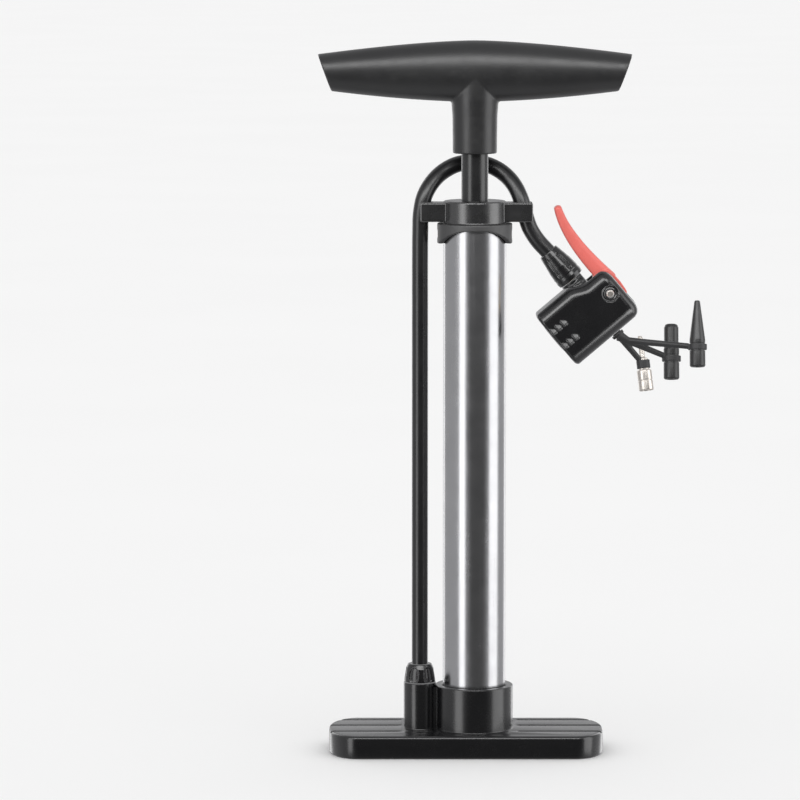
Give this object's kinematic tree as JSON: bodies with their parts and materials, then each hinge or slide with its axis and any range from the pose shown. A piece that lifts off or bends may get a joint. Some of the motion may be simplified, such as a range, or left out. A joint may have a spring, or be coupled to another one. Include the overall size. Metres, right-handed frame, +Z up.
{
  "type": "ball inflation pump",
  "caption": "Hand floor pump with foot base, aluminium barrel, sliding T handle, side hose, lever pump head and ball adapters on a rubber holder.",
  "frame": {"origin": "on the barrel's axis, in the plane of the foot base's underside", "axes": "+Z up along the barrel, +X towards the pump head's side, -Y towards the viewer"},
  "size_m": [0.1984, 0.056, 0.3642],
  "materials": {
    "black_gloss": "moulded, glossy",
    "black_satin": "moulded, satin",
    "black_rubber": "soft, matt",
    "hose_rubber": "smooth, glossy",
    "aluminium": "satin anodised",
    "steel": "nickel plated",
    "brass": "turned",
    "grey_plastic": "moulded",
    "coral_red": "moulded, soft gloss"
  },
  "bodies": {
    "frame": {"foot_base": "black_gloss", "channel_cover": "black_gloss", "channel_gasket": "black_rubber", "cover_screw_1": "steel", "cover_screw_2": "steel", "cover_screw_3": "steel", "cover_screw_4": "steel", "check_valve_seat": "grey_plastic", "barrel": "aluminium", "barrel_seal": "black_rubber", "top_cap": "black_gloss", "cap_screw_left": "steel", "cap_screw_right": "steel", "rod_bush": "grey_plastic", "hose": "hose_rubber", "hose_nut_base": "black_gloss", "hose_nut_head": "black_gloss", "hose_tail_base": "brass", "hose_tail_head": "brass", "pump_head": "black_gloss", "valve_collar": "black_gloss", "valve_grommet": "black_rubber", "lever_pin": "steel", "adapter_holder": "black_rubber"},
    "check_ball": {"check_valve_ball": "black_rubber", "check_valve_spring": "steel"},
    "piston": {"piston_body": "grey_plastic", "cup_seal": "black_rubber", "stop_bumper": "black_rubber"},
    "plunger": {"piston_rod": "black_satin", "piston_washer": "steel", "piston_nut": "steel", "handle_grip": "black_satin", "handle_plug_left": "black_satin", "handle_plug_right": "black_satin", "handle_screw": "steel"},
    "lever": {"lever": "coral_red"},
    "pusher": {"valve_pusher": "brass"},
    "cone": {"cone_nozzle": "black_satin"},
    "adapter": {"valve_adapter": "black_satin"},
    "needle": {"ball_needle": "steel"}
  },
  "joints": [
    {"name": "plunger_slide", "type": "slide", "parent": "frame", "child": "piston", "axis": [0, 0, 1], "range_m": [0, 0.22]},
    {"name": "handle_swivel", "type": "hinge", "parent": "piston", "child": "plunger", "pos_m": [0, 0, 0.3], "axis": [0, 0, 1], "continuous": true},
    {"name": "lever_hinge", "type": "hinge", "parent": "frame", "child": "lever", "pos_m": [0.0686, 0, 0.2364], "axis": [0, 1, 0], "range_deg": [0, 85]},
    {"name": "pusher_slide", "type": "slide", "parent": "frame", "child": "pusher", "axis": [-0.7627, 0, -0.6468], "range_m": [0, 0.0019]},
    {"name": "check_valve_lift", "type": "slide", "parent": "frame", "child": "check_ball", "axis": [0, 0, -1], "range_m": [0, 0.0009], "stiffness_N_per_m": 30, "springref_m": -0.001, "deforming": ["check_valve_spring"]},
    {"name": "cone_pull", "type": "slide", "parent": "frame", "child": "cone", "axis": [0, -0.2079, -0.9781], "range_m": [0, 0.028]},
    {"name": "adapter_pull", "type": "slide", "parent": "frame", "child": "adapter", "axis": [0, -0.2079, -0.9781], "range_m": [0, 0.022]},
    {"name": "needle_pull", "type": "slide", "parent": "frame", "child": "needle", "axis": [0.12, -0.1736, -0.9775], "range_m": [0, 0.02]}
  ],
  "couplings": [
    {"joint": "pusher_slide", "follows": "lever_hinge", "m_per_rad": 0.0012732}
  ]
}
